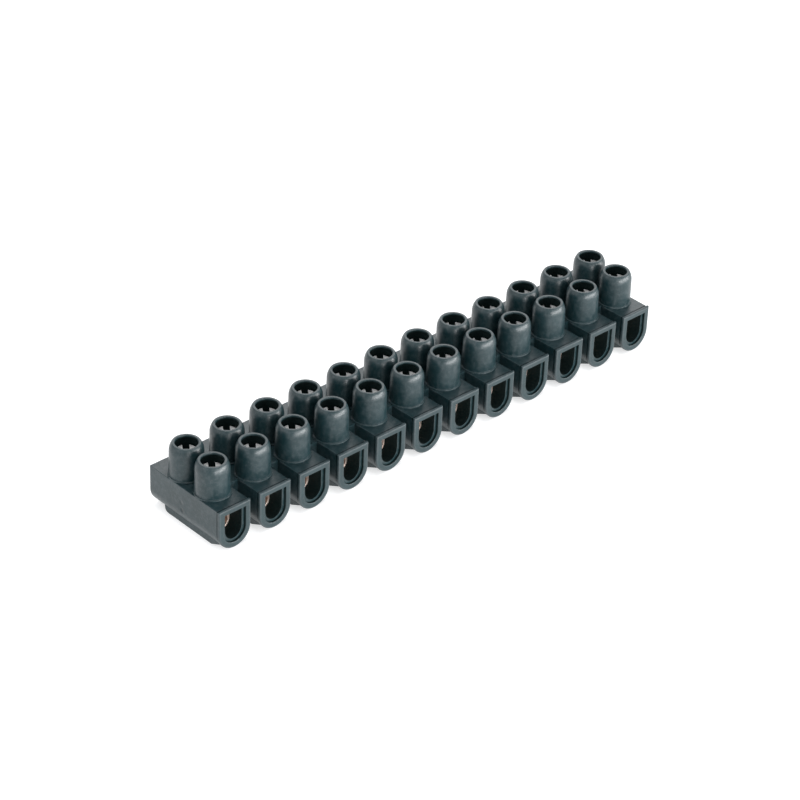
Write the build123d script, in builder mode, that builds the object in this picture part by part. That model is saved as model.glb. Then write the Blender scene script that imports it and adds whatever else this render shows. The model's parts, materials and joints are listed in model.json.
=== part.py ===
from build123d import *
import os

# A twelve-pole screw terminal strip: one black moulded housing holds twelve brass contact tubes,
# and each tube has two slotted clamp screws, one above each wire mouth.
# Millimetres. +X runs along the row of poles, -Y is the front row of wire mouths, +Z is up.
# The origin is at the middle of the strip, on the surface that it lies on.

# The row of poles
pole_count = 12
pole_pitch = 8.0

# Outside of each pole: a tube from front to back, with a flat top, straight sides and a round belly
mouth_width = 6.2
mouth_height = 7.5
pole_depth = 17.0
lip_step = 0.1        # how far the lip round each mouth stands proud of the tube
lip_length = 0.5

# Wire mouth: a shallow opening with a small ledge behind it
opening_width = 4.3
opening_floor = 1.0
opening_ceiling = 6.55
opening_depth = 0.45

# Screw towers, two on each pole
tower_spacing = 6.2
tower_foot_diameter = 5.6
tower_neck_diameter = 5.4
tower_height = 5.8
rim_diameter = 4.5
shoulder_height = 1.1

# Webs that join the poles, with a fixing hole through each
web_depth = 6.2
fixing_hole_diameter = 2.9

# Flat-bottomed foot under each pole, with a ramp up to the front mouth
foot_width = 4.7
foot_depth = 11.3
foot_heel_radius = 0.8
ramp_end_height = 1.05

# Brass contact tube: the same section as the pole, with a round wire bore low down
contact_width = 3.2
contact_height = 4.95
contact_length = 10.6
contact_floor = 1.4
wire_bore_diameter = 2.4
seat_clearance = 0.05  # beside and above the tube, which lies on the floor of its seat

# Clamp screws
screw_diameter = 2.5
thread_clearance = 0.05
head_diameter = 3.7
head_clearance = 0.2
head_height = 1.8
shank_length = 5.2
slot_width = 1.1
slot_depth = 0.9
slot_angle = 55       # degrees from +X, the same way in every screw of a new strip
head_recess = 1.6     # from the tower's rim down to the head, with the screw backed off

# How far a form reaches into the one that carries it, so that the two join
overlap = 0.1

# Worked out from the sizes above
tube_width = mouth_width - 2 * lip_step
tube_top = mouth_height - lip_step
tube_floor = lip_step
tube_half = pole_depth / 2 - lip_length + overlap
belly_radius = tube_width / 2
tower_top = tube_top + tower_height
tower_foot = tube_top - overlap
tower_bore_diameter = head_diameter + 2 * head_clearance
seat_width = contact_width + 2 * seat_clearance
contact_top = contact_floor + contact_height
seat_ceiling = contact_top + seat_clearance
bore_height = contact_floor + contact_width / 2
thread_hole_diameter = screw_diameter + 2 * thread_clearance
head_top = tower_top - head_recess
slot_length = 2 * head_diameter
web_run = (pole_count - 1) * pole_pitch
pole_places = [(number - (pole_count - 1) / 2) * pole_pitch for number in range(pole_count)]
tower_rows = [-tower_spacing / 2, tower_spacing / 2]
front_plane = Plane.XZ.offset(pole_depth / 2)
back_plane = Plane.XZ.offset(-pole_depth / 2)


def arch(width, floor, ceiling):
    """Draws a section with a flat top, straight sides and a half-round belly at each active place."""
    radius = width / 2
    with Locations((0, floor + radius)):
        Circle(radius)
        Rectangle(width, ceiling - floor - radius, align=(Align.CENTER, Align.MIN))


# One screw tower, solid for now: a wall that leans in a little, as moulded walls do, and a sloping shoulder
with BuildPart() as tower:
    with BuildSketch(Plane.XZ):
        with BuildLine():
            Polyline(
                (0, tower_top),
                (0, tower_foot),
                (tower_foot_diameter / 2, tower_foot),
                (tower_neck_diameter / 2, tower_top - shoulder_height),
                (rim_diameter / 2, tower_top),
                close=True,
            )
        make_face()
    revolve(axis=Axis.Z)

with BuildPart() as housing:
    # The poles' tubes, and the lip round each front and back mouth
    with BuildSketch(Plane.XZ):
        with GridLocations(pole_pitch, 0, pole_count, 1):
            arch(tube_width, tube_floor, tube_top)
    extrude(amount=tube_half, both=True)
    for plane, inward in ((front_plane, -lip_length), (back_plane, lip_length)):
        with BuildSketch(plane):
            with GridLocations(pole_pitch, 0, pole_count, 1):
                arch(mouth_width, 0, mouth_height)
        extrude(amount=inward)

    # One bar of webs, from the first pole to the last
    with BuildSketch(Plane.XY):
        Rectangle(web_run, web_depth)
    extrude(amount=tube_top)

    # A foot under each pole: a rounded heel at the back, and a ramp at the front
    with BuildSketch(*[Plane.YZ.offset(place) for place in pole_places]):
        with BuildLine():
            heel = foot_depth / 2
            FilletPolyline(
                (heel, belly_radius),
                (heel, 0),
                (-foot_depth / 2, 0),
                radius=foot_heel_radius,
            )
            Polyline(
                (-foot_depth / 2, 0),
                (-pole_depth / 2 + lip_length, ramp_end_height),
                (-pole_depth / 2 + lip_length, belly_radius),
                (heel, belly_radius),
            )
        make_face()
    extrude(amount=foot_width / 2, both=True)

    # The towers stand on the flat tops
    with GridLocations(pole_pitch, tower_spacing, pole_count, 2):
        add(tower.part)

    # Wire mouths: a wide opening at each end, and the contact tube's seat right through
    for plane, inward in ((front_plane, -opening_depth), (back_plane, opening_depth)):
        with BuildSketch(plane):
            with GridLocations(pole_pitch, 0, pole_count, 1):
                arch(opening_width, opening_floor, opening_ceiling)
        extrude(amount=inward, mode=Mode.SUBTRACT)
    with BuildSketch(Plane.XZ):
        with GridLocations(pole_pitch, 0, pole_count, 1):
            arch(seat_width, contact_floor, seat_ceiling)
    extrude(amount=pole_depth / 2, both=True, mode=Mode.SUBTRACT)

    # Each tower's bore runs down into the seat
    with BuildSketch(Plane.XY.offset(seat_ceiling)):
        with GridLocations(pole_pitch, tower_spacing, pole_count, 2):
            Circle(tower_bore_diameter / 2)
    extrude(amount=tower_top - seat_ceiling, mode=Mode.SUBTRACT)

    # A fixing hole down through each web
    with Locations(Plane.XY.offset(tube_top)):
        with GridLocations(pole_pitch, 0, pole_count - 1, 1):
            Hole(radius=fixing_hole_diameter / 2, depth=tube_top)


def contact_tube(place):
    """Makes the brass tube of the pole at this place: an arched bar, a wire bore and two threaded holes."""
    with BuildPart() as tube:
        with BuildSketch(Plane.XZ):
            with Locations((place, 0)):
                arch(contact_width, contact_floor, contact_top)
        extrude(amount=contact_length / 2, both=True)
        with BuildSketch(Plane.XZ):
            with Locations((place, bore_height)):
                Circle(wire_bore_diameter / 2)
        extrude(amount=contact_length / 2, both=True, mode=Mode.SUBTRACT)
        with BuildSketch(Plane.XY.offset(bore_height)):
            with Locations((place, 0)):
                with GridLocations(0, tower_spacing, 1, 2):
                    Circle(thread_hole_diameter / 2)
        extrude(amount=contact_top - bore_height, mode=Mode.SUBTRACT)
    return tube


def clamp_screw(place, row):
    """Makes the screw of one tower: a slotted cylinder head on a plain shank."""
    with BuildPart() as screw:
        with BuildSketch(Plane.XY.offset(head_top - head_height)):
            with Locations((place, row)):
                Circle(head_diameter / 2)
        extrude(amount=head_height)
        with BuildSketch(Plane.XY.offset(head_top - head_height)):
            with Locations((place, row)):
                Circle(screw_diameter / 2)
        extrude(amount=-shank_length)
        with BuildSketch(Plane.XY.offset(head_top)):
            with Locations(Location((place, row, 0), slot_angle)):
                Rectangle(slot_length, slot_width)
        extrude(amount=-slot_depth, mode=Mode.SUBTRACT)
    return screw


os.makedirs("parts", exist_ok=True)

housing.part.label = "housing"
export_step(housing.part, "parts/housing.step")

for number, place in enumerate(pole_places, start=1):
    tube = contact_tube(place)
    tube.part.label = f"contact_tube_{number:02d}"
    export_step(tube.part, f"parts/{tube.part.label}.step")
    for side, row in zip(("front", "back"), tower_rows):
        screw = clamp_screw(place, row)
        screw.part.label = f"{side}_screw_{number:02d}"
        export_step(screw.part, f"parts/{screw.part.label}.step")
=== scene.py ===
# %% [markdown]
# # A black screw terminal strip
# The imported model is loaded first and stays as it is. It gives every place and every moving body, so the
# rest of this lesson only dresses it: a moulded housing with rounded edges, turned screws with real threads,
# drawn brass tubes, and a finish for each. Sizes are in metres in Blender, so millimetres get a factor.

# %% Load the frame
import json
from math import cos, pi, radians, sin

import bmesh
import bpy
from mathutils import Matrix, Vector

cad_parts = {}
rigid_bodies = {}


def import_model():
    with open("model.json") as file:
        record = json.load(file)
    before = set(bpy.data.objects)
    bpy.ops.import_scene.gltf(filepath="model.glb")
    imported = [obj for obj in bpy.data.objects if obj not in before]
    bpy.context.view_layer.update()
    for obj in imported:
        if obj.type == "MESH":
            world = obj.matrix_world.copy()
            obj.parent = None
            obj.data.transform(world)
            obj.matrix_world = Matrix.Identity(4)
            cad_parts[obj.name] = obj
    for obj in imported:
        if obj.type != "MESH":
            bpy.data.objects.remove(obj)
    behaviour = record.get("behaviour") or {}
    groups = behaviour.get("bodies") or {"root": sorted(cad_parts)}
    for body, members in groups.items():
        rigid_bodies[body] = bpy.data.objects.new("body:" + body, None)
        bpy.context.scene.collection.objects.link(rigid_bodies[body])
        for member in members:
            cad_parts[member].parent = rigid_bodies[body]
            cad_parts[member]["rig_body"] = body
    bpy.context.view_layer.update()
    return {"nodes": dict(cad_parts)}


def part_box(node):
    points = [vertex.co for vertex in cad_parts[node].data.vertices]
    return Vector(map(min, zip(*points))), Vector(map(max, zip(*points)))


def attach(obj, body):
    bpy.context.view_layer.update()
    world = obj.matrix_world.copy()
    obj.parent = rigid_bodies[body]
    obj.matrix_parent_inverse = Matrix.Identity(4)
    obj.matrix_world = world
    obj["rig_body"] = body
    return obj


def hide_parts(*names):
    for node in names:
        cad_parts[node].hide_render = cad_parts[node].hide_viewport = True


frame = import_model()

MM = 0.001

# %% [markdown]
# ## Places and sizes
# The frame knows where each pole and each screw stands, so places are read from it and never typed. The
# sizes of the moulding that can't be read from a box, such as the width of a mouth, are named here once.

# %% Read the places of the poles, rows and screws
def middle_of(node):
    """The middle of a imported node's box, in metres."""
    low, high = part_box(node)
    return (low + high) / 2


numbers = [name[-2:] for name in sorted(frame["nodes"]) if name.startswith("contact_tube")]
pole_x = [middle_of("contact_tube_" + number).x for number in numbers]
pitch = pole_x[1] - pole_x[0]
rows = {"front": middle_of("front_screw_01").y, "back": middle_of("back_screw_01").y}
housing_low, housing_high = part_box("housing")
screw_low, screw_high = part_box("front_screw_01")
tube_low, tube_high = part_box("contact_tube_01")
print("poles", len(pole_x), "pitch mm", round(pitch / MM, 3), "rows mm", round(rows["front"] / MM, 2))

# %% Name the sizes of the moulding
mouth_y = housing_low.y
mouth_width = 6.2 * MM
mouth_top = 7.5 * MM
lip_step = 0.1 * MM
lip_length = 0.5 * MM
groove_width = 0.24 * MM
groove_depth = 0.3 * MM
lip_round = 0.2 * MM
edge_round = 0.12 * MM
corner_round = 0.08 * MM
opening_width = 4.3 * MM
opening_floor = 1.0 * MM
opening_top = 6.55 * MM
opening_depth = 0.45 * MM
seat_width = 3.3 * MM
seat_floor = tube_low.z
seat_top = 6.4 * MM
pole_width = mouth_width - 2 * lip_step
pole_top = mouth_top - lip_step
tower_foot_radius = 2.8 * MM
tower_neck_radius = 2.73 * MM
head_radius = (screw_high.x - screw_low.x) / 2
head_gap = 0.2 * MM
tower_bore = head_radius + head_gap
tower_top = housing_high.z
collar_radius = 2.98 * MM
collar_height = 0.25 * MM
corner_angle = radians(50)
print("housing mm", [round(v / MM, 2) for v in housing_high - housing_low])

# %% [markdown]
# ## Working in edit mode from code
# By hand one selects a face, extrudes it, scales it and goes on. The helpers below do the same: they pick
# faces, edges or corners by place or normal, and then call the same operators that the menus call.

# %% Helpers that select
def only(piece):
    """Selects one piece and makes it the active one."""
    bpy.ops.object.select_all(action="DESELECT")
    piece.select_set(True)
    bpy.context.view_layer.objects.active = piece


def open_up(piece):
    """Goes into edit mode with everything selected."""
    only(piece)
    bpy.ops.object.mode_set(mode="EDIT")
    bpy.ops.mesh.select_mode(type="FACE")
    bpy.ops.mesh.select_all(action="SELECT")


def close_up():
    """Goes back to object mode."""
    bpy.ops.object.mode_set(mode="OBJECT")


def pick(piece, group, test):
    """Selects only the faces, edges or corners that pass the test."""
    bpy.ops.mesh.select_mode(type={"faces": "FACE", "edges": "EDGE", "verts": "VERT"}[group])
    bpy.ops.mesh.select_all(action="DESELECT")
    mesh = bmesh.from_edit_mesh(piece.data)
    for part in getattr(mesh, group):
        if test(part):
            part.select_set(True)
    mesh.select_flush_mode()
    bmesh.update_edit_mesh(piece.data)


def near(a, b, slack=0.002 * MM):
    """True where two lengths are the same to two thousandths of a millimetre."""
    return abs(a - b) < slack


def at_height(edge, height):
    """True where an edge lies level at this height."""
    return all(near(vertex.co.z, height) for vertex in edge.verts)


def at_depth(part, depth):
    """True where a face or an edge lies square across the pole at this depth."""
    return all(near(vertex.co.y, depth) for vertex in part.verts)


def turns_sharply(edge):
    """True where the two faces of an edge meet at a clear corner."""
    return len(edge.link_faces) == 2 and edge.calc_face_angle() > corner_angle


# %% Helpers that shape
def pull(y=0.0, z=0.0):
    """Extrudes what is selected by this step."""
    bpy.ops.mesh.extrude_region_move(TRANSFORM_OT_translate={"value": (0, y, z)})


def fit_section(piece, width, floor, top):
    """Scales and lifts the selected face until its width, floor and top are these."""
    mesh = bmesh.from_edit_mesh(piece.data)
    spots = [vertex.co.copy() for vertex in mesh.verts if vertex.select]
    low = Vector([min(spot[i] for spot in spots) for i in range(3)])
    high = Vector([max(spot[i] for spot in spots) for i in range(3)])
    centre = (low + high) / 2
    size = high - low
    bpy.ops.transform.resize(value=(width / size.x, 1, (top - floor) / size.z), center_override=centre)
    bpy.ops.transform.translate(value=(0, 0, (floor + top) / 2 - centre.z))


def finish_mesh(piece, gap=0.0005 * MM):
    """Merges doubles and turns every face outwards."""
    open_up(piece)
    bpy.ops.mesh.remove_doubles(threshold=gap)
    bpy.ops.mesh.normals_make_consistent(inside=False)
    close_up()


def place_in_mesh(piece):
    """Puts the object's place into its mesh, so that the object sits at the origin."""
    only(piece)
    bpy.ops.object.transform_apply(location=True, rotation=True, scale=True)


def disc(name, radius, place, sides, lean=0.0):
    """A filled round face, level or turned up by this angle."""
    bpy.ops.mesh.primitive_circle_add(
        vertices=sides,
        radius=radius,
        fill_type="NGON",
        location=place,
        rotation=(lean, 0, 0),
    )
    piece = bpy.context.object
    piece.name = name
    place_in_mesh(piece)
    return piece


def block(name, place, size, turn=0.0):
    """A box about this place."""
    bpy.ops.mesh.primitive_cube_add(size=1, location=place, rotation=(0, 0, turn), scale=size)
    piece = bpy.context.object
    piece.name = name
    place_in_mesh(piece)
    return piece


def arch_face(name, width, top, centre, y, sides):
    """An upright face with a round belly and a flat top, left open in edit mode with all of it selected."""
    piece = disc(name, width / 2, (0, y, centre), sides, pi / 2)
    open_up(piece)
    bpy.ops.mesh.bisect(
        plane_co=(0, 0, centre),
        plane_no=(0, 0, 1),
        clear_outer=True,
        threshold=0.001 * MM,
    )
    pick(piece, "edges", lambda edge: at_height(edge, centre))
    pull(z=top - centre)
    bpy.ops.mesh.select_mode(type="FACE")
    bpy.ops.mesh.select_all(action="SELECT")
    bpy.ops.mesh.normals_make_consistent(inside=False)
    return piece


def copy_of(piece, name, move):
    """A copy with its own mesh, moved by this much."""
    twin = piece.copy()
    twin.data = piece.data.copy()
    twin.name = name
    twin.data.name = name
    bpy.context.scene.collection.objects.link(twin)
    twin.data.transform(Matrix.Translation(move))
    return twin


def joined(pieces, name):
    """Several pieces as one object."""
    bpy.ops.object.select_all(action="DESELECT")
    for piece in pieces:
        piece.select_set(True)
    bpy.context.view_layer.objects.active = pieces[0]
    bpy.ops.object.join()
    pieces[0].name = name
    return pieces[0]


def combine(piece, tool, operation):
    """Adds a tool to a piece or cuts it away, and removes the tool."""
    only(piece)
    step = piece.modifiers.new("combine", "BOOLEAN")
    step.operation = operation
    step.solver = "EXACT"
    step.object = tool
    bpy.ops.object.modifier_apply(modifier=step.name)
    bpy.data.objects.remove(tool)
    return piece


def smooth_edges(piece, angle=32):
    """Smooth shading, with true edges kept sharp and flat faces kept flat."""
    only(piece)
    bpy.ops.object.shade_smooth_by_angle(angle=radians(angle))
    weights = piece.modifiers.new("flat faces", "WEIGHTED_NORMAL")
    weights.keep_sharp = True
    weights.weight = 100
    bpy.ops.object.modifier_apply(modifier=weights.name)


# %% [markdown]
# ## The tube of a pole
# On the real strip each pole is an arched tube that is open at both ends. Half of it is one face: a round
# disc is cut in two, its straight edge is pulled up into a flat top, and the whole face is then pulled
# forward, widened for the lip, inset for the opening, pushed back in, and narrowed for the brass tube's
# seat. A boolean would also give the hollow, but not its rounded rims. The photograph shows a lip with a fine
# dark groove behind it at the front mouths and neither at the back ones, so only the front half gets them.

# %% Half a tube, from its middle to its front mouth
belly_centre = pole_width / 2 + lip_step
belly_sides = 56


def in_opening(vertex):
    """True for the corners of the opening, and not for those of the lip's outline."""
    slack = edge_round / 2
    across = abs(vertex.co.x) < opening_width / 2 + slack
    return across and opening_floor - slack < vertex.co.z < opening_top + slack


def is_rim(edge):
    """The outer and the inner edge of the mouth."""
    return at_depth(edge, mouth_y) and turns_sharply(edge)


def is_outer_rim(edge):
    """The outline of the lip."""
    return is_rim(edge) and not in_opening(edge.verts[0])


def is_inner_rim(edge):
    """The edge of the opening."""
    return is_rim(edge) and in_opening(edge.verts[0])


def is_long_corner(edge):
    """The two long corners of the pole's flat top."""
    at_side = near(abs(edge.verts[0].co.x), pole_width / 2)
    return at_height(edge, pole_top) and at_side and edge.calc_length() > lip_length


def half_tube(name, lip):
    """Half of a pole's tube, with or without a groove and a lip at its mouth."""
    piece = arch_face(name, pole_width, pole_top, belly_centre, 0, belly_sides)
    if lip:
        pull(y=mouth_y + lip_length + groove_width)
        pull()
        fit_section(piece, pole_width - 2 * groove_depth, lip_step + groove_depth, pole_top - groove_depth)
        pull(y=-groove_width)
        pull()
        fit_section(piece, mouth_width, 0, mouth_top)
        pull(y=-lip_length)
    else:
        pull(y=mouth_y)
    bpy.ops.mesh.inset(thickness=(pole_width - opening_width) / 2, use_even_offset=True)
    fit_section(piece, opening_width, opening_floor, opening_top)
    pull(y=opening_depth)
    pull()
    fit_section(piece, seat_width, seat_floor, seat_top)
    pull(y=-mouth_y - opening_depth)
    pick(piece, "faces", lambda face: at_depth(face, 0))
    bpy.ops.mesh.delete(type="FACE")
    rounds = (
        (is_outer_rim, lip_round, 4),
        (is_inner_rim, edge_round, 3),
        (is_long_corner, corner_round, 2),
    )
    for test, size, steps in rounds:
        pick(piece, "edges", test)
        bpy.ops.mesh.bevel(offset=size, segments=steps, affect="EDGES", clamp_overlap=True)
    close_up()
    return piece


# %% Make both halves and join them
front_half = half_tube("front_half", True)
back_half = half_tube("back_half", False)
back_half.scale.y = -1
place_in_mesh(back_half)
tube = joined([front_half, back_half], "pole_tube")

# The two halves were inset from different outlines, so their corners on the seam lie slightly apart
seam_slack = 0.08 * MM
open_up(tube)
pick(tube, "verts", lambda vertex: near(vertex.co.y, 0))
bpy.ops.mesh.remove_doubles(threshold=seam_slack)
close_up()
finish_mesh(tube)
print("tube faces", len(tube.data.polygons))

# %% [markdown]
# ## Towers, foot and bore
# A tower is a round form, so a disc is pulled up step by step and scaled at each step: a low collar, a
# straight wall, a shoulder that curls in, and a rim with a small round. The bore comes last, cut by a second
# round form. It narrows under the rim, which keeps the screw in, and flares out at the top, which rounds the
# bore's edge.

# %% A round form from a profile
def round_form(name, profile, x=0.0, y=0.0, sides=48):
    """Pulls a disc up through a profile of radius and height pairs."""
    radius, height = profile[0]
    piece = disc(name, radius, (x, y, height), sides)
    open_up(piece)
    bpy.ops.mesh.normals_make_consistent(inside=False)
    for next_radius, next_height in profile[1:]:
        pull(z=next_height - height)
        ratio = next_radius / radius
        bpy.ops.transform.resize(value=(ratio, ratio, 1), center_override=(x, y, next_height))
        radius, height = next_radius, next_height
    close_up()
    finish_mesh(piece, gap=0.0001 * MM)
    return piece


def corner(radius, height, size, start, end, steps):
    """Points on an arc of this size, from one angle to another, about a centre at this radius and height."""
    angles = [radians(start + (end - start) * step / steps) for step in range(steps + 1)]
    return [(radius + size * cos(angle), height + size * sin(angle)) for angle in angles]


# %% The tower's outline and its bore
rim_round = 0.1 * MM
rim_bore = 1.83 * MM
rim_drop = 0.3 * MM
shoulder_height = 1.5 * MM
shoulder_lean = 34
shoulder_rise = shoulder_height - rim_round * (1 - sin(radians(shoulder_lean)))
shoulder_radius = shoulder_rise / sin(radians(shoulder_lean))
shoulder_steps = corner(
    tower_neck_radius - shoulder_radius,
    tower_top - shoulder_height,
    shoulder_radius,
    0,
    shoulder_lean,
    7,
)
rim_inner = rim_bore + rim_round
rim_outer = shoulder_steps[-1][0] - rim_round * cos(radians(shoulder_lean))
collar_top = pole_top + collar_height
tower_profile = [
    (collar_radius, pole_top - 2 * lip_step),
    (collar_radius, collar_top - edge_round / 2),
    *corner(collar_radius - edge_round / 2, collar_top - edge_round / 2, edge_round / 2, 30, 90, 2),
    (tower_foot_radius + edge_round / 2, collar_top),
    (tower_foot_radius, collar_top + edge_round / 2),
    *shoulder_steps,
    *corner(rim_outer, tower_top - rim_round, rim_round, shoulder_lean + 14, 90, 4),
]
bore_profile = [
    (tower_bore, seat_top - 2 * lip_step),
    (tower_bore, tower_top - 2 * rim_drop),
    (rim_bore, tower_top - rim_drop),
    *corner(rim_inner, tower_top - rim_round, rim_round, 180, 90, 4),
    (rim_inner + 2 * rim_round, tower_top + rim_round),
]
print("rim mm", round(rim_inner / MM, 2), round(rim_outer / MM, 2))
towers = [round_form("tower", tower_profile, y=y) for y in rows.values()]
bores = [round_form("bore", bore_profile, y=y) for y in rows.values()]
print("tower faces", len(towers[0].data.polygons))

# %% The foot: a block with a ramp pulled out of its front end and a round heel
foot_width = 4.7 * MM
foot_half = 5.65 * MM
foot_top = 1.35 * MM
heel_round = 0.8 * MM
ramp_y = mouth_y + lip_length + groove_width
ramp_height = 1.0 * MM


def is_foot_corner(edge):
    """The corners along both sides of the foot, apart from those that end up inside the pole."""
    first, second = edge.verts
    below_top = max(first.co.z, second.co.z) < foot_top - lip_step
    at_side = near(abs(first.co.x), foot_width / 2) and near(first.co.x, second.co.x)
    return below_top and at_side and turns_sharply(edge)


foot = block("foot", (0, 0, foot_top / 2), (foot_width, 2 * foot_half, foot_top))
open_up(foot)
pick(foot, "faces", lambda face: face.normal.y < -0.9)
pull(y=ramp_y + foot_half)
pick(foot, "edges", lambda edge: at_height(edge, 0) and at_depth(edge, ramp_y))
bpy.ops.transform.translate(value=(0, 0, ramp_height))
pick(foot, "edges", lambda edge: at_height(edge, 0) and at_depth(edge, foot_half))
bpy.ops.mesh.bevel(offset=heel_round, segments=8, affect="EDGES")
pick(foot, "edges", is_foot_corner)
bpy.ops.mesh.bevel(offset=edge_round, segments=2, affect="EDGES")
close_up()
finish_mesh(foot)
print("foot faces", len(foot.data.polygons))

# %% [markdown]
# ## One pole, twelve times
# One finished pole is copied to each place. The webs between poles are plain blocks that reach a little into
# the pole walls, so one union makes the whole moulding a single closed skin. The fixing holes come last,
# because each is wider than the gap that its web fills and bites into the poles on both sides.

# %% Join one pole together
pole = combine(tube, joined([foot, *towers], "additions"), "UNION")
pole = combine(pole, joined(bores, "bore_tools"), "DIFFERENCE")

# Where round forms cross, a boolean leaves points almost on top of each other, and these are merged
sliver = 0.003 * MM
finish_mesh(pole, gap=sliver)
print("pole faces", len(pole.data.polygons))

# %% Make a web and the tool for its fixing hole
web_depth = 6.2 * MM
web_reach = 0.4 * MM
hole_radius = 1.45 * MM
web_width = pitch - pole_width + 2 * web_reach
web = block("web", (0, 0, pole_top / 2), (web_width, web_depth, pole_top))
hole = round_form(
    "hole",
    [
        (hole_radius + 2 * edge_round, -edge_round),
        (hole_radius + edge_round, 0),
        (hole_radius, edge_round),
        (hole_radius, pole_top - edge_round),
        (hole_radius + edge_round, pole_top),
        (hole_radius + 2 * edge_round, pole_top + edge_round),
    ],
    sides=32,
)
print("web faces", len(web.data.polygons), "hole faces", len(hole.data.polygons))

# %% Copy poles and webs along the strip, unite them and cut the holes
web_x = [(a + b) / 2 for a, b in zip(pole_x, pole_x[1:])]
poles = [copy_of(pole, "pole", (x, 0, 0)) for x in pole_x]
webs = [copy_of(web, "web", (x, 0, 0)) for x in web_x]
holes = [copy_of(hole, "hole", (x, 0, 0)) for x in web_x]
for pattern in (pole, web, hole):
    bpy.data.objects.remove(pattern)
housing = joined(poles, "moulded_housing")
housing = combine(housing, joined(webs, "webs"), "UNION")
housing = combine(housing, joined(holes, "holes"), "DIFFERENCE")
smooth_edges(housing)
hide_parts("housing")
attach(housing, frame["nodes"]["housing"]["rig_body"])
print("housing faces", len(housing.data.polygons))

# %% [markdown]
# ## Screws
# The head of a cheese-head screw is turned, so it is a round form with a small round at its top edge, and a
# sawn slot. The thread is a zigzag profile that a Screw modifier winds up the shank.

# %% Model one screw
head_height = 1.8 * MM
head_edge = 0.2 * MM
shank_radius = 1.25 * MM
thread_pitch = 0.45 * MM
thread_depth = 0.26 * MM
core_radius = shank_radius - thread_depth
tip_bevel = 0.2 * MM
slot_width = 1.1 * MM
slot_depth = 0.9 * MM
slot_angle = radians(55)
head_top = screw_high.z
head_base = head_top - head_height
tip = screw_low.z
start_x, start_y = pole_x[0], rows["front"]
screw_profile = [
    (core_radius - tip_bevel, tip),
    (core_radius, tip + tip_bevel),
    (core_radius, head_base - thread_pitch),
    (shank_radius, head_base - thread_pitch / 2),
    (shank_radius, head_base),
    (head_radius - head_edge / 2, head_base),
    (head_radius, head_base + head_edge / 2),
    (head_radius, head_top - head_edge),
    *corner(head_radius - head_edge, head_top - head_edge, head_edge, 20, 90, 4),
]
screw = round_form("screw", screw_profile, x=start_x, y=start_y, sides=40)
saw_size = (4 * head_radius, slot_width, 2 * slot_depth)
saw = block("saw", (start_x, start_y, head_top), saw_size, slot_angle)
screw = combine(screw, saw, "DIFFERENCE")
print("screw faces", len(screw.data.polygons))

# %% Wind its thread
# It starts a little above the tip and ends under the head, and its root is sunk into the core.
turns = int((head_base - tip - thread_pitch * 1.5) / thread_pitch)
root = core_radius - 0.05 * MM
root_half = thread_pitch * 0.45
crest_half = thread_pitch * 0.06
outline = [
    (root, -root_half),
    (shank_radius, -crest_half),
    (shank_radius, crest_half),
    (root, root_half),
]
bpy.ops.mesh.primitive_plane_add(size=1, location=(0, 0, 0))
thread = bpy.context.object
thread.name = "thread"
open_up(thread)
mesh = bmesh.from_edit_mesh(thread.data)
mesh.faces.ensure_lookup_table()
for vertex, (radius, height) in zip(mesh.faces[0].verts, outline):
    vertex.co = (radius, 0, height)
bmesh.update_edit_mesh(thread.data)
close_up()
winding = thread.modifiers.new("winding", "SCREW")
winding.steps = 24
winding.render_steps = 24
winding.iterations = turns
winding.screw_offset = thread_pitch
winding.angle = 2 * pi
bpy.ops.object.modifier_apply(modifier=winding.name)

# The winding is open at both ends, and one face closes each
open_up(thread)
bpy.ops.mesh.fill_holes(sides=4)
close_up()
thread.location = (start_x, start_y, tip + thread_pitch * 0.75)
place_in_mesh(thread)
finish_mesh(thread)
print("thread faces", len(thread.data.polygons), "turns", turns)
screw = joined([screw, thread], "screw")
smooth_edges(screw, 40)

# %% Give every body its own screw
for number, x in zip(numbers, pole_x):
    for side, y in rows.items():
        node = side + "_screw_" + number
        twin = copy_of(screw, node + "_turned", (x - start_x, y - start_y, 0))
        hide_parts(node)
        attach(twin, frame["nodes"][node]["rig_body"])
bpy.data.objects.remove(screw)

# %% [markdown]
# ## Contact tubes
# Each brass tube is an arched bar with a wire bore and two holes from above. The saw leaves a small bevel
# round its ends, which is all that shows in the mouths.

# %% Model one contact tube
tube_width = tube_high.x - tube_low.x
tube_end = tube_high.y
tube_bore = 1.2 * MM
tube_bevel = 0.12 * MM
thread_hole = 1.3 * MM
bore_centre = tube_low.z + tube_width / 2


def is_sawn_corner(edge):
    """The corners round both ends of the tube."""
    sawn = at_depth(edge, tube_end) or at_depth(edge, -tube_end)
    return sawn and turns_sharply(edge)


contact = arch_face("contact", tube_width, tube_high.z, bore_centre, -tube_end, 48)
pull(y=2 * tube_end)
close_up()
finish_mesh(contact)

# The drills from above stop a little past the middle of the bore, so that no two faces lie in one plane
drill_down = 2 * (tube_high.z - bore_centre) + lip_step
drills = (
    (tube_bore, 3 * tube_end, (0, 0, bore_centre), pi / 2),
    (thread_hole, drill_down, (0, rows["front"], tube_high.z), 0),
    (thread_hole, drill_down, (0, rows["back"], tube_high.z), 0),
)
for radius, length, place, lean in drills:
    bpy.ops.mesh.primitive_cylinder_add(
        vertices=40,
        radius=radius,
        depth=length,
        location=place,
        rotation=(lean, 0, 0),
    )
    drill = bpy.context.object
    place_in_mesh(drill)
    contact = combine(contact, drill, "DIFFERENCE")
open_up(contact)
pick(contact, "edges", is_sawn_corner)
bpy.ops.mesh.bevel(offset=tube_bevel, segments=2, affect="EDGES", clamp_overlap=True)
close_up()
finish_mesh(contact)
smooth_edges(contact, 40)
print("contact faces", len(contact.data.polygons))

# %% Give every pole its own contact tube
for number, x in zip(numbers, pole_x):
    node = "contact_tube_" + number
    twin = copy_of(contact, node + "_drawn", (x, 0, 0))
    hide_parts(node)
    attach(twin, frame["nodes"][node]["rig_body"])
bpy.data.objects.remove(contact)

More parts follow.
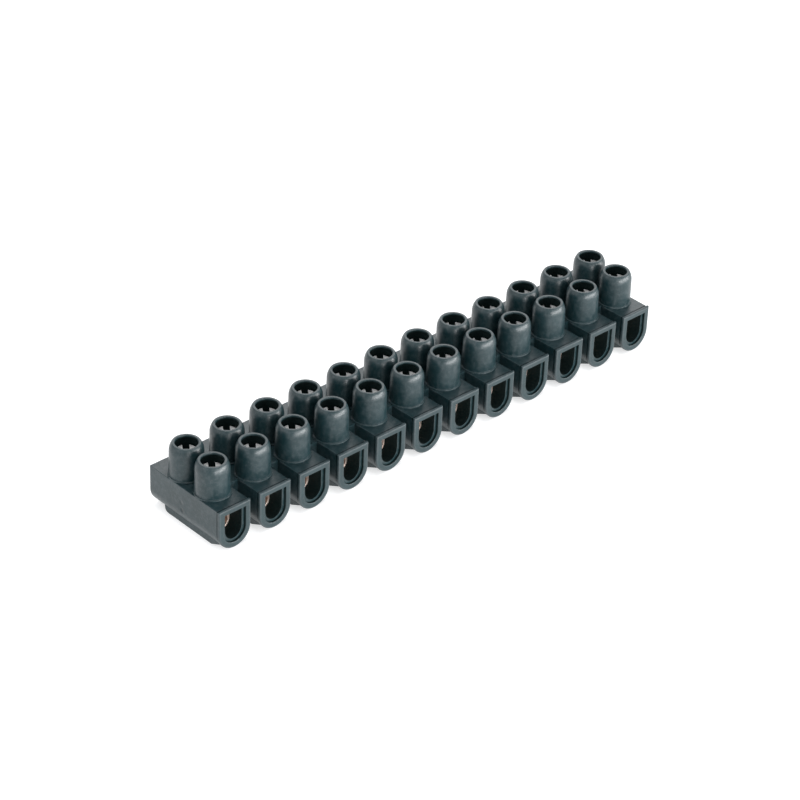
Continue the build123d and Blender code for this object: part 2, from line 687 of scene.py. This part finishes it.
# %% [markdown]
# ## Finishes
# A shader is easier to read as arithmetic. The class below wraps a node's output, so `1 - mask * 0.3` adds
# the Math nodes by itself. Every other node comes from `Finish.add`, which sets the node up first and then
# its sockets.

# %% Shader arithmetic
class Wire:
    """One output of a node, with the sums that the finishes need."""

    def __init__(self, finish, socket):
        self.finish = finish
        self.socket = socket

    def math(self, operation, first, second=None):
        values = {0: first} if second is None else {0: first, 1: second}
        return self.finish.add("ShaderNodeMath", {"operation": operation}, values)

    def __add__(self, other):
        return self.math("ADD", self, other)

    def __radd__(self, other):
        return self.math("ADD", other, self)

    def __sub__(self, other):
        return self.math("SUBTRACT", self, other)

    def __rsub__(self, other):
        return self.math("SUBTRACT", other, self)

    def __mul__(self, other):
        return self.math("MULTIPLY", self, other)

    def __truediv__(self, other):
        return self.math("DIVIDE", self, other)

    def __abs__(self):
        return self.math("ABSOLUTE", self)

    def least(self, other):
        return self.math("MINIMUM", self, other)

    def root(self):
        return self.math("SQRT", self)

    def wave(self):
        return self.math("SINE", self)

    def part(self):
        """What is left after whole numbers are taken away."""
        return self.math("FRACT", self)


class Finish:
    """A material whose pattern is measured in millimetres on the strip."""

    def __init__(self, name):
        self.material = bpy.data.materials.new(name)
        self.material.use_nodes = True
        self.tree = self.material.node_tree
        self.shader = self.tree.nodes["Principled BSDF"]
        place = self.add("ShaderNodeTexCoord", {}, {}, "Object")
        self.spot = self.add("ShaderNodeMapping", {}, {"Vector": place, "Scale": (1 / MM,) * 3})
        self.axes = self.add("ShaderNodeSeparateXYZ", {}, {"Vector": self.spot}, None)

    def add(self, kind, settings, sockets, output=0):
        """Adds a node, sets it up, fills its sockets and gives the output asked for, or the node for None."""
        node = self.tree.nodes.new(kind)
        for name, value in settings.items():
            setattr(node, name, value)
        for name, value in sockets.items():
            if isinstance(value, Wire):
                self.tree.links.new(value.socket, node.inputs[name])
            else:
                node.inputs[name].default_value = value
        return node if output is None else Wire(self, node.outputs[output])

    def axis(self, letter):
        """The place along X, Y or Z in millimetres."""
        return Wire(self, self.axes.outputs[letter])

    def across_pole(self):
        """How far a point lies to the side of the middle of its pole, in millimetres."""
        step = pitch / MM
        return ((self.axis("X") / step).part() - 0.5) * step

    def noise(self, scale, detail=3.0, stretch=(1, 1, 1), roughness=0.5, seed=0.0):
        """A noise between 0 and 1, with about this many lumps a millimetre."""
        spot = self.add(
            "ShaderNodeMapping",
            {},
            {"Vector": self.spot, "Scale": stretch, "Location": (seed, seed * 0.7, seed * 1.3)},
        )
        return self.add(
            "ShaderNodeTexNoise",
            {"noise_dimensions": "3D"},
            {"Vector": spot, "Scale": scale, "Detail": detail, "Roughness": roughness},
        )

    def ramp(self, value, *stops):
        """Maps a number through two stops of position and shade."""
        node = self.add("ShaderNodeValToRGB", {}, {"Fac": value}, None)
        for element, (position, shade) in zip(node.color_ramp.elements, stops):
            element.position = position
            element.color = (shade, shade, shade, 1)
        return Wire(self, node.outputs[0])

    def blend(self, share, first, second):
        """Mixes two colours. Sockets 6 and 7 take them, and output 2 gives the mix."""
        return self.add(
            "ShaderNodeMix",
            {"data_type": "RGBA"},
            {0: share, 6: first, 7: second},
            2,
        )

    def bump(self, height, distance, strength):
        """Turns a height into a normal. The distance is in millimetres."""
        return self.add(
            "ShaderNodeBump",
            {},
            {"Height": height, "Distance": distance * MM, "Strength": strength},
        )

    def set(self, **sockets):
        """Fills the shader's own sockets. An underscore stands for a space."""
        for name, value in sockets.items():
            target = self.shader.inputs[name.replace("_", " ")]
            if isinstance(value, Wire):
                self.tree.links.new(value.socket, target)
            else:
                target.default_value = value


def dress(ending, finish):
    """Gives this finish to every piece whose name ends like this."""
    for piece in bpy.data.objects:
        if piece.name.endswith(ending):
            piece.data.materials.clear()
            piece.data.materials.append(finish.material)


print("finish helpers ready")

# %% [markdown]
# ## Black polyamide
# Strips like this are mostly moulded in polyamide. This one is black with a cool cast and a satin sheen.
# Close up it has a fine orange-peel skin, slightly paler patches where it has been handled, short scuffs, and
# a few pale specks.

# %% Where a point of the housing lies
# All in millimetres: across its pole, behind the mouths, above the floor and in from the pole's outline.
black = Finish("black_polyamide")
across = black.across_pole()
depth = -mouth_y / MM - abs(black.axis("Y"))
height = black.axis("Z")
below = (height - belly_centre / MM).least(0.0)
from_side = mouth_width / MM / 2 - (across * across + below * below).root()
inset = from_side.least(mouth_top / MM - height)
print("place nodes", len(black.tree.nodes))

# %% Skin, haze, scuffs and specks
cloud = black.noise(0.35, 3, seed=3.0)
mottle = black.noise(2.2, 4, seed=11.0)
grain = black.noise(9.0, 2, seed=5.0)
scuff_field = black.noise(1.1, 5, stretch=(0.5, 0.5, 2.4), roughness=0.65, seed=7.0)
scuffs = black.ramp(scuff_field, (0.6, 0.0), (0.72, 1.0))
speck_field = black.add(
    "ShaderNodeTexVoronoi",
    {"feature": "F1"},
    {"Vector": black.spot, "Scale": 1.25, "Randomness": 1.0},
    "Distance",
)
specks = black.ramp(speck_field, (0.03, 1.0), (0.07, 0.0))
skin = black.blend(
    black.ramp(cloud, (0.35, 0.0), (0.7, 1.0)),
    (0.003, 0.016, 0.019, 1),
    (0.006, 0.022, 0.026, 1),
)
haze = black.ramp(black.noise(1.4, 5, roughness=0.7, seed=21.0), (0.45, 0.0), (0.7, 0.6))

# The front faces of the lips get less haze: painted shade that darkens them
front_face_shade = black.ramp(depth, (0.02, 1.0), (0.12, 0.0))
skin = black.blend(haze * (1 - front_face_shade * 0.7), skin, (0.04, 0.055, 0.06, 1))
skin = black.blend(scuffs * 0.2, skin, (0.05, 0.065, 0.07, 1))
skin = black.blend(specks * 0.35, skin, (0.16, 0.17, 0.18, 1))
print("skin nodes", len(black.tree.nodes))

# %% Painted highlight on the lip edges, and two faint round marks on the left end
# Painted highlight: the outline edges and the lips are lightened towards a pale grey
edges = black.ramp(abs(inset) + depth, (0.12, 1.0), (0.4, 0.0))

# A ramp runs from 0 to 1, so the few millimetres out to the end wall are divided by ten
at_end = black.ramp((pole_x[0] / MM - black.axis("X")) * 0.1, (0.27, 0.0), (0.29, 1.0))
marks = 0.0
for mark_y, mark_z, strength in ((0.5, 3.2, 0.7), (0.7, 4.5, 0.35)):
    away_y = black.axis("Y") - mark_y
    away_z = height - mark_z
    away = (away_y * away_y + away_z * away_z).root()
    marks = black.ramp(away, (0.1, 1.0), (0.55, 0.0)) * strength + marks
marks = marks * at_end
# Painted highlight along the edges
skin = black.blend(edges * 0.22, skin, (0.09, 0.1, 0.105, 1))
skin = black.blend(marks * 0.8, skin, (0.001, 0.003, 0.004, 1))
relief = mottle * 0.6 + grain * 0.2 + scuffs * 0.15 - marks * 6.0
black.set(
    Base_Color=skin,
    Roughness=0.29 + mottle * 0.12 + scuffs * 0.12,
    Normal=black.bump(relief, 0.045, 0.7),
    IOR=1.5,
)
print("housing finish", len(black.tree.nodes), "nodes")

# %% [markdown]
# ## The hollows
# Inside the poles and the towers, and in the grooves behind the lips, the faces get a second material. It is
# rough and mirrors little, and its darker base colour is painted shade that keeps the mouths, grooves and
# bores dark.

# %% Painted shade of the hollows
hollow_shade = Finish("matt_hollow")
hollow_shade.set(
    Base_Color=hollow_shade.blend(
        hollow_shade.noise(1.8, 3, seed=6.0),
        (0.001, 0.005, 0.005, 1),
        (0.003, 0.012, 0.012, 1),
    ),
    Roughness=0.75,
    Normal=hollow_shade.bump(hollow_shade.noise(6.0, 3, seed=8.0), 0.03, 0.5),
    IOR=1.25,
)


def is_hollow(face):
    """True inside a pole, a tower or a lip's groove, apart from the ledge behind each mouth. These faces get
    painted shade.
    """
    spot = face.center
    across = min(abs(spot.x - place) for place in pole_x)
    slack = edge_round / 8
    if spot.z > mouth_top:
        row = abs(spot.y) - rows["back"]
        in_bore = across * across + row * row < (tower_bore + slack) ** 2
        return in_bore and spot.z < tower_top - 2 * rim_round
    groove_start = mouth_y + lip_length
    if groove_start - slack < spot.y < groove_start + groove_width + slack:
        return True
    in_width = across < opening_width / 2 + slack
    in_height = opening_floor - slack < spot.z < opening_top + slack
    lengthwise = abs(face.normal.y) < 0.9 and abs(spot.y) < -mouth_y - edge_round
    return in_width and in_height and lengthwise


# %% Give the housing both finishes
housing.data.materials.clear()
for finish in (black, hollow_shade):
    housing.data.materials.append(finish.material)
# Hollow faces take the second material and its painted shade
for face in housing.data.polygons:
    face.material_index = int(is_hollow(face))
print("matt faces", len([face for face in housing.data.polygons if face.material_index]))

# %% [markdown]
# ## Drawn brass and plated steel
# The contact tube is drawn, so its fine lines run along it, and it has gone a little pink and dull in
# places. The screws are turned and plated: rings run round each head, which comes from the distance to the
# nearest tower axis, because every screw stands on the same grid. Their sawn slots are rougher and darkened
# with painted shade.

# %% Finish of the brass tubes
brass = Finish("drawn_brass")
lines = brass.noise(3.0, 3, stretch=(4, 0.25, 4), seed=2.0)
tarnish = brass.ramp(brass.noise(0.9, 4, seed=9.0), (0.42, 0.0), (0.68, 1.0))
tone = brass.blend(tarnish * 0.5, (0.92, 0.77, 0.68, 1), (0.6, 0.44, 0.36, 1))
brass.set(
    Base_Color=tone,
    Metallic=1.0,
    Roughness=0.34 + lines * 0.14 + tarnish * 0.16,
    Normal=brass.bump(lines, 0.01, 0.5),
)
dress("_drawn", brass)
print("brass on", len(numbers), "tubes")

# %% Finish of the screws
steel = Finish("plated_steel")
across = steel.across_pole()
along = abs(steel.axis("Y")) - rows["back"] / MM
distance = (across * across + along * along).root()
ring_rate = 42.0
rings = (distance * ring_rate).wave() * 0.5 + 0.5
cloudy = steel.noise(1.6, 3, seed=4.0)
bright = steel.blend(
    steel.ramp(cloudy, (0.35, 0.0), (0.7, 1.0)),
    (0.97, 0.97, 0.96, 1),
    (0.84, 0.84, 0.83, 1),
)

# The sawn slot is rougher than the turned face, and it is darkened with painted shade
sunk = steel.ramp(head_top / MM - steel.axis("Z"), (0.3, 0.0), (0.7, 1.0))
in_head = steel.ramp(steel.axis("Z") - head_base / MM, (0.1, 0.0), (0.2, 1.0))
slot_shade = sunk * in_head
steel.set(
    Base_Color=steel.blend(slot_shade * 0.85, bright, (0.14, 0.14, 0.13, 1)),
    Metallic=1.0,
    Roughness=0.46 + cloudy * 0.16 + slot_shade * 0.15,
    Normal=steel.bump(rings, 0.006, 0.5),
)
dress("_turned", steel)
print("steel finish", len(steel.tree.nodes), "nodes")

# %% [markdown]
# ## Floor, light and camera
# The photograph has a plain white ground and soft light from all round, which black plastic shows only by
# what it mirrors. So each panel is there for one reflection: a low wide one in front gives the sheen on the
# round towers, one behind gives the pale rings on their rims, and weak ones at the left and above lift the
# end wall and the tops. The floor glows a little, which keeps it white. The camera stands to the front left
# with a long lens.

# %% Floor
floor_gap = 0.02 * MM
bpy.ops.mesh.primitive_plane_add(size=6, location=(0, 0, -floor_gap))
floor = bpy.context.object
floor.name = "floor"
paper = Finish("pale_floor")
paper.set(
    Base_Color=(0.62, 0.62, 0.62, 1),
    Roughness=0.9,
    Emission_Color=(1, 1, 1, 1),
    Emission_Strength=0.56,
)
floor.data.materials.append(paper.material)

# %% Lights
middle = Vector((0, 0, 6 * MM))


def panel(name, place, width, height, power):
    """A soft panel that faces the middle of the strip."""
    data = bpy.data.lights.new(name, "AREA")
    data.shape = "RECTANGLE"
    data.size = width
    data.size_y = height
    data.energy = power
    lamp = bpy.data.objects.new(name, data)
    bpy.context.scene.collection.objects.link(lamp)
    lamp.location = place
    lamp.rotation_euler = (middle - Vector(place)).to_track_quat("-Z", "Y").to_euler()


panel("front_panel", (0.17, -0.64, 0.09), 1.2, 0.16, 10.0)
panel("left_panel", (-0.6, 0.15, 0.25), 0.7, 0.45, 0.7)
panel("back_panel", (0.42, 0.44, 0.4), 0.45, 0.35, 0.95)
panel("high_panel", (0, 0, 0.9), 0.3, 0.3, 2.5)
world = bpy.data.worlds.new("studio")
bpy.context.scene.world = world
world.use_nodes = True
sky = world.node_tree.nodes["Background"]
sky.inputs["Color"].default_value = (0.95, 0.97, 1.0, 1)
sky.inputs["Strength"].default_value = 0.9

# %% Camera
turn = radians(-43.89)
rise = radians(33.3)
tilt = radians(2.39)
back = Vector((sin(turn) * cos(rise), -cos(turn) * cos(rise), sin(rise)))
right = Vector((cos(turn), sin(turn), 0))
up = back.cross(right)
lens_right = right * cos(tilt) + up * sin(tilt)
lens_up = up * cos(tilt) - right * sin(tilt)
aim = Vector((-2.39, -0.02, 4.95)) * MM
pitches_away = 56.4
eye = aim + back * pitches_away * pitch
camera_data = bpy.data.cameras.new("camera")
camera_data.sensor_width = 36
camera_data.lens = 125.74
camera_data.clip_start = 0.01
camera = bpy.data.objects.new("camera", camera_data)
bpy.context.scene.collection.objects.link(camera)
camera.matrix_world = Matrix.Translation(eye) @ Matrix((lens_right, lens_up, back)).transposed().to_4x4()
bpy.context.scene.camera = camera
bpy.context.scene.view_settings.view_transform = "Standard"
print("camera mm", [round(v / MM, 1) for v in eye])
